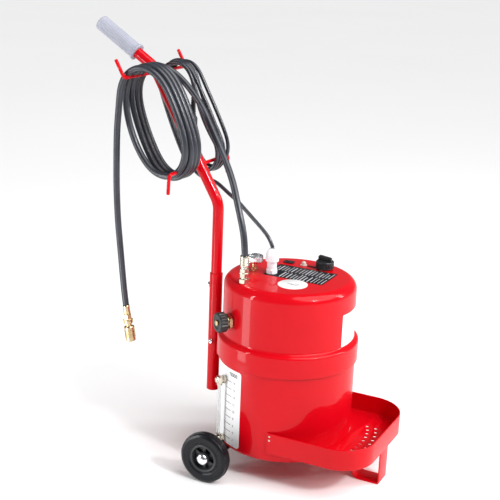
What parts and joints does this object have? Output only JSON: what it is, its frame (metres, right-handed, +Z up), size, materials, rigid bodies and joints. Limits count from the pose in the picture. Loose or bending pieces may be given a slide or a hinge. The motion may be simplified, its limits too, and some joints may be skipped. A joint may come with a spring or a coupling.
{
  "type": "wheeled pressure brake bleeder",
  "caption": "Two-wheeled electric brake-fluid bleeder: drum tank with pump cover, front tray, cranked push handle, wound fluid hose with quick coupler and supply lead.",
  "frame": {"origin": "on the ground, under the middle of the object without its hose and lead", "axes": "+Z up, -Y towards the tray at the front, +Y towards the handle, X along the wheel axle"},
  "size_m": [0.457, 0.7732, 0.9824],
  "materials": {
    "red_paint": "gloss powder coat",
    "black_steel": "satin black paint",
    "deck_steel": "zinc plated",
    "pump_casting": "cast",
    "motor_case": "satin grey paint",
    "chrome_plate": "polished",
    "nickel_plate": "bright nickel",
    "brass_metal": "machined",
    "tyre_rubber": "matte",
    "hub_plastic": "satin",
    "black_plastic": "satin moulded",
    "gasket_rubber": "matte",
    "grip_vinyl": "soft ribbed vinyl",
    "white_nylon": "natural nylon",
    "dial_white": "printed dial",
    "clear_lens": "clear",
    "clear_tube": "clear flexible tube",
    "lamp_lens": "moulded lens",
    "hose_rubber": "smooth matte",
    "cable_jacket": "smooth satin"
  },
  "bodies": {
    "frame": {"tank_shell": "red_paint", "cover_shell": "red_paint", "tray_wall": "red_paint", "tray_floor": "red_paint", "front_foot": "red_paint", "handle_sleeve": "red_paint", "sleeve_bracket_lower": "red_paint", "sleeve_bracket_upper": "red_paint", "handle_tube": "red_paint", "upper_hook_bar": "red_paint", "lower_hook_bar": "red_paint", "axle_beam": "black_steel", "tank_deck": "deck_steel", "pump_head": "pump_casting", "pump_motor": "motor_case", "axle_cap_left": "chrome_plate", "axle_cap_right": "chrome_plate", "clamp_bolt_lower": "chrome_plate", "clamp_bolt_upper": "chrome_plate", "gauge_case": "chrome_plate", "outlet_nut": "nickel_plate", "hose_ferrule": "nickel_plate", "filler_neck": "nickel_plate", "suction_pipe": "nickel_plate", "stub_axle_left": "nickel_plate", "stub_axle_right": "nickel_plate", "sight_fitting_low": "nickel_plate", "sight_fitting_high": "nickel_plate", "hose_barb": "brass_metal", "gauge_stem": "brass_metal", "regulator_body": "brass_metal", "coupler_body": "brass_metal", "switch_bezel": "black_plastic", "cable_plug": "black_plastic", "cover_seal": "gasket_rubber", "grip": "grip_vinyl", "gland_body": "white_nylon", "gland_nut": "white_nylon", "gauge_dial": "dial_white", "gauge_lens": "clear_lens", "sight_tube": "clear_tube", "pilot_lamp": "lamp_lens", "hose_riser": "hose_rubber", "hose_coil": "hose_rubber", "hose_drop": "hose_rubber", "cable_run": "cable_jacket", "cable_coil": "cable_jacket"},
    "wheel_left": {"wheel_hub_left": "hub_plastic", "tyre_left": "tyre_rubber"},
    "wheel_right": {"wheel_hub_right": "hub_plastic", "tyre_right": "tyre_rubber"},
    "regulator": {"regulator_knob": "black_plastic", "knob_insert": "brass_metal"},
    "cap_lift": {"filler_seal": "gasket_rubber"},
    "cap": {"filler_cap": "black_plastic"},
    "rocker": {"switch_rocker": "black_plastic"},
    "needle": {"gauge_needle": "black_plastic"},
    "coupler_lock": {"coupler_sleeve": "brass_metal"}
  },
  "joints": [
    {"name": "wheel_left_spin", "type": "hinge", "parent": "frame", "child": "wheel_left", "pos_m": [-0.205, -0.0376, 0.058], "axis": [1, 0, 0], "continuous": true},
    {"name": "wheel_right_spin", "type": "hinge", "parent": "frame", "child": "wheel_right", "pos_m": [0.205, -0.0376, 0.058], "axis": [1, 0, 0], "continuous": true},
    {"name": "regulator_turn", "type": "hinge", "parent": "frame", "child": "regulator", "pos_m": [-0.12212, -0.04549, 0.356], "axis": [-0.8141, 0.5807, 0], "range_deg": [0, 1080]},
    {"name": "cap_rise", "type": "slide", "parent": "frame", "child": "cap_lift", "axis": [0, 0, 1], "range_m": [0, 0.008]},
    {"name": "cap_turn", "type": "hinge", "parent": "cap_lift", "child": "cap", "pos_m": [0.086, -0.1786, 0.45], "axis": [0, 0, 1], "range_deg": [0, 540]},
    {"name": "rocker_tip", "type": "hinge", "parent": "frame", "child": "rocker", "pos_m": [0.086, -0.0886, 0.4408], "axis": [1, 0, 0], "range_deg": [-16, 0]},
    {"name": "needle_turn", "type": "hinge", "parent": "frame", "child": "needle", "pos_m": [-0.018, -0.0486, 0.474], "axis": [0, 0, -1], "range_deg": [0, 270]},
    {"name": "coupler_slide", "type": "slide", "parent": "frame", "child": "coupler_lock", "axis": [0, 0.1736, 0.9848], "range_m": [0, 0.006], "stiffness_N_per_m": 600, "springref_m": -0.002}
  ],
  "couplings": [
    {"joint": "cap_rise", "follows": "cap_turn", "m_per_rad": 0.00079577}
  ]
}
